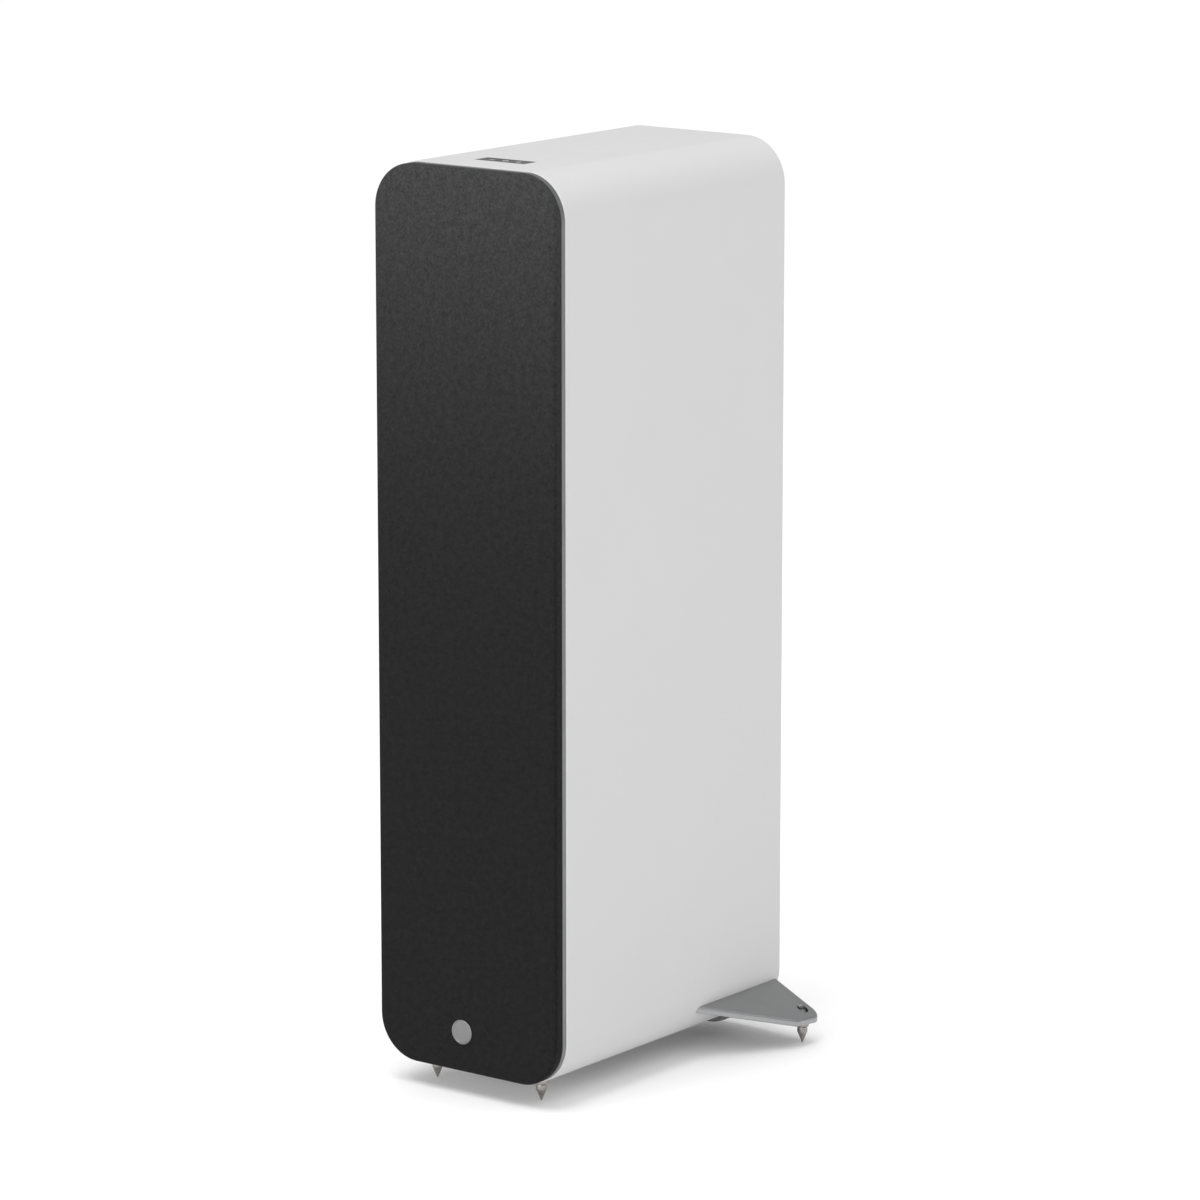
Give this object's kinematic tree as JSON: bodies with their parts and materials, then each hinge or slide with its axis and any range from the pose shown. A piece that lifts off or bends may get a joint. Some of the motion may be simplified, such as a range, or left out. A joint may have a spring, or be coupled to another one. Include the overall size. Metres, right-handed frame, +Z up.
{
  "type": "floorstanding speaker",
  "caption": "Slim powered floorstanding speaker: rounded white cabinet, full-height charcoal cloth grille, top control panel, rear amplifier and splayed metal stabilisers on levelling spikes.",
  "frame": {"origin": "on the floor, under the middle of the object's bounding box", "axes": "+Z up from the spike tips to the top face; the grille faces -Y; +X is to the right when facing +Y, so on the picture's right-hand side"},
  "size_m": [0.2544, 0.2968, 0.702],
  "materials": {
    "white_lacquer": "satin white lacquer on wood board",
    "silver_trim": "satin anodised",
    "baffle_paint": "matt charcoal lacquer",
    "raw_board": "bare wood board",
    "wadding": "loose polyester wadding",
    "black_plastic": "matt moulded",
    "basket_alloy": "black-painted cast alloy",
    "ferrite": "sintered ferrite and plated steel",
    "surround_rubber": "matt",
    "cone_paper": "pressed cone, dark grey",
    "voice_coil": "former wound with copper wire",
    "spider_cloth": "resin-dipped woven cloth",
    "dome_silk": "coated silk",
    "grille_fabric": "charcoal woven cloth",
    "badge_metal": "brushed, plain",
    "magnet_plating": "nickel plated",
    "control_plastic": "soft-touch grey",
    "key_plastic": "soft-touch grey, pale icons",
    "lens": "clear light pipe",
    "circuit_board": "green solder mask",
    "panel_metal": "black powder coat",
    "gold_contacts": "gold plated",
    "cap_red": "clear red acrylic over metal",
    "cap_black": "gloss",
    "switch_white": "moulded",
    "cable": "insulated wire",
    "black_steel": "black oxide",
    "cast_alloy": "bead-blasted grey anodising",
    "turned_steel": "turned and nickel plated"
  },
  "bodies": {
    "enclosure": {"cabinet": "white_lacquer", "front_trim": "silver_trim", "front_baffle": "baffle_paint", "rear_board": "white_lacquer", "braces": "raw_board", "damping_wadding": "wadding", "reflex_port": "black_plastic", "amp_chamber": "raw_board", "tweeter_plate": "black_plastic", "tweeter_magnet": "ferrite", "baffle_magnets": "magnet_plating", "control_panel": "control_plastic", "status_lens": "lens", "control_board": "circuit_board", "amp_panel": "panel_metal", "mains_inlet": "black_plastic", "line_jacks": "gold_contacts", "optical_socket": "black_plastic", "post_bases": "gold_contacts", "amp_board": "circuit_board", "power_supply": "circuit_board", "wiring": "cable", "screws": "black_steel", "left_stabiliser": "cast_alloy", "right_stabiliser": "cast_alloy", "lock_nuts_and_inserts": "turned_steel", "upper_basket": "basket_alloy", "upper_magnet": "ferrite", "upper_surround": "surround_rubber", "upper_spider": "spider_cloth", "lower_basket": "basket_alloy", "lower_magnet": "ferrite", "lower_surround": "surround_rubber", "lower_spider": "spider_cloth"},
    "upper_diaphragm": {"upper_cone": "cone_paper", "upper_dust_cap": "cone_paper", "upper_voice_coil": "voice_coil"},
    "lower_diaphragm": {"lower_cone": "cone_paper", "lower_dust_cap": "cone_paper", "lower_voice_coil": "voice_coil"},
    "tweeter_diaphragm": {"tweeter_dome": "dome_silk"},
    "grille": {"grille_frame": "black_plastic", "grille_cloth": "grille_fabric", "badge": "badge_metal", "grille_magnets": "magnet_plating"},
    "volume_down_key": {"volume_down_button": "key_plastic"},
    "source_key": {"source_button": "key_plastic"},
    "volume_up_key": {"volume_up_button": "key_plastic"},
    "rocker": {"power_rocker": "black_plastic"},
    "pairing_key": {"pairing_button": "control_plastic"},
    "placement_knob": {"placement_slider": "switch_white"},
    "channel_knob": {"channel_slider": "switch_white"},
    "red_nut": {"red_post_nut": "gold_contacts"},
    "red_cap": {"red_post_cap": "cap_red"},
    "black_nut": {"black_post_nut": "gold_contacts"},
    "black_cap": {"black_post_cap": "cap_black"},
    "front_left_foot": {"front_left_spike": "turned_steel"},
    "front_right_foot": {"front_right_spike": "turned_steel"},
    "rear_left_foot": {"rear_left_spike": "turned_steel"},
    "rear_right_foot": {"rear_right_spike": "turned_steel"}
  },
  "joints": [
    {"name": "upper_cone_travel", "type": "slide", "parent": "enclosure", "child": "upper_diaphragm", "axis": [0, -1, 0], "range_m": [-0.0035, 0.0035], "stiffness_N_per_m": 1200, "deforming": ["upper_surround", "upper_spider"]},
    {"name": "lower_cone_travel", "type": "slide", "parent": "enclosure", "child": "lower_diaphragm", "axis": [0, -1, 0], "range_m": [-0.0035, 0.0035], "stiffness_N_per_m": 1200, "deforming": ["lower_surround", "lower_spider"]},
    {"name": "tweeter_dome_travel", "type": "slide", "parent": "enclosure", "child": "tweeter_diaphragm", "axis": [0, -1, 0], "range_m": [-0.0003, 0.0003], "stiffness_N_per_m": 2500},
    {"name": "grille_pull", "type": "slide", "parent": "enclosure", "child": "grille", "axis": [0, -1, 0], "range_m": [0, 0.06]},
    {"name": "volume_down_press", "type": "slide", "parent": "enclosure", "child": "volume_down_key", "axis": [0, 0, -1], "range_m": [0, 0.0006], "stiffness_N_per_m": 1500, "springref_m": -0.0003},
    {"name": "source_press", "type": "slide", "parent": "enclosure", "child": "source_key", "axis": [0, 0, -1], "range_m": [0, 0.0006], "stiffness_N_per_m": 1500, "springref_m": -0.0003},
    {"name": "volume_up_press", "type": "slide", "parent": "enclosure", "child": "volume_up_key", "axis": [0, 0, -1], "range_m": [0, 0.0006], "stiffness_N_per_m": 1500, "springref_m": -0.0003},
    {"name": "power_rocker_tilt", "type": "hinge", "parent": "enclosure", "child": "rocker", "pos_m": [0.021, 0.1399, 0.254], "axis": [-1, 0, 0], "range_deg": [0, 16]},
    {"name": "pairing_press", "type": "slide", "parent": "enclosure", "child": "pairing_key", "axis": [0, -1, 0], "range_m": [0, 0.0008], "stiffness_N_per_m": 1500, "springref_m": -0.0003},
    {"name": "placement_switch", "type": "slide", "parent": "enclosure", "child": "placement_knob", "axis": [1, 0, 0], "range_m": [-0.003, 0.003]},
    {"name": "channel_switch", "type": "slide", "parent": "enclosure", "child": "channel_knob", "axis": [1, 0, 0], "range_m": [0, 0.004]},
    {"name": "red_nut_travel", "type": "slide", "parent": "enclosure", "child": "red_nut", "axis": [0, 1, 0], "range_m": [0, 0.003]},
    {"name": "red_cap_turn", "type": "hinge", "parent": "red_nut", "child": "red_cap", "pos_m": [-0.0095, 0.1374, 0.32], "axis": [0, 1, 0], "range_deg": [0, 1350]},
    {"name": "black_nut_travel", "type": "slide", "parent": "enclosure", "child": "black_nut", "axis": [0, 1, 0], "range_m": [0, 0.003]},
    {"name": "black_cap_turn", "type": "hinge", "parent": "black_nut", "child": "black_cap", "pos_m": [0.0095, 0.1374, 0.32], "axis": [0, 1, 0], "range_deg": [0, 1350]},
    {"name": "front_left_levelling", "type": "slide", "parent": "enclosure", "child": "front_left_foot", "axis": [0, 0, -1], "range_m": [0, 0.006]},
    {"name": "front_right_levelling", "type": "slide", "parent": "enclosure", "child": "front_right_foot", "axis": [0, 0, -1], "range_m": [0, 0.006]},
    {"name": "rear_left_levelling", "type": "slide", "parent": "enclosure", "child": "rear_left_foot", "axis": [0, 0, -1], "range_m": [0, 0.006]},
    {"name": "rear_right_levelling", "type": "slide", "parent": "enclosure", "child": "rear_right_foot", "axis": [0, 0, -1], "range_m": [0, 0.006]}
  ],
  "couplings": [
    {"joint": "red_cap_turn", "follows": "red_nut_travel", "rad_per_m": 7854},
    {"joint": "black_cap_turn", "follows": "black_nut_travel", "rad_per_m": 7854}
  ]
}
